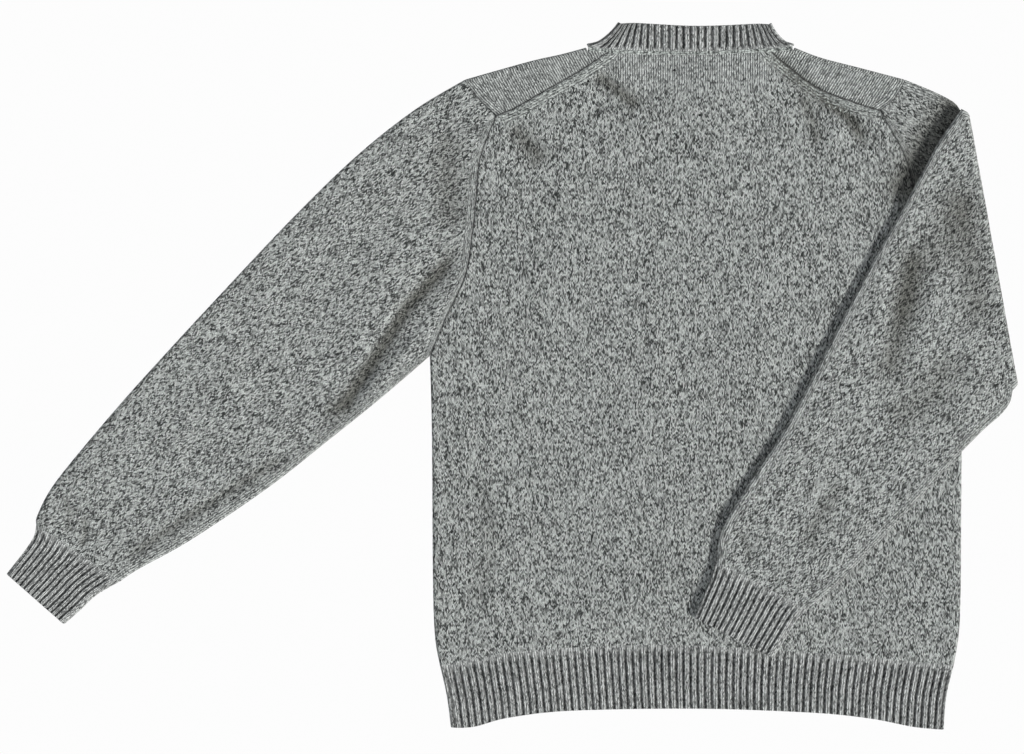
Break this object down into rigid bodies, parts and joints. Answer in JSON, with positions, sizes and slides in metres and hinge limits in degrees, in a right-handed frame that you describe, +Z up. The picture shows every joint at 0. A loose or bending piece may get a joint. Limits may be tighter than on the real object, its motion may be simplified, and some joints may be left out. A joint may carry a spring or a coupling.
{
  "type": "knitted wool sweater",
  "caption": "Grey marl crew-neck wool pullover lying on its front, one sleeve stretched out and the other folded back over the body, with ribbed hem, cuffs and neckband.",
  "frame": {"origin": "middle of the garment's box, on the surface it lies on", "axes": "+Z up from the surface, out of the back; +X across the garment, towards the folded sleeve; +Y from hem to neck"},
  "size_m": [1.0097, 0.7057, 0.0147],
  "materials": {
    "jersey_knit": "grey marl wool in stocking stitch",
    "rib_knit": "grey marl wool in rib"
  },
  "bodies": {
    "root": {"back_panel": "jersey_knit", "front_panel": "jersey_knit", "back_hem_rib": "rib_knit", "front_hem_rib": "rib_knit", "neckband": "rib_knit", "sleeve_left": "jersey_knit", "cuff_left": "rib_knit", "sleeve_right": "jersey_knit", "cuff_right": "rib_knit"}
  },
  "joints": []
}
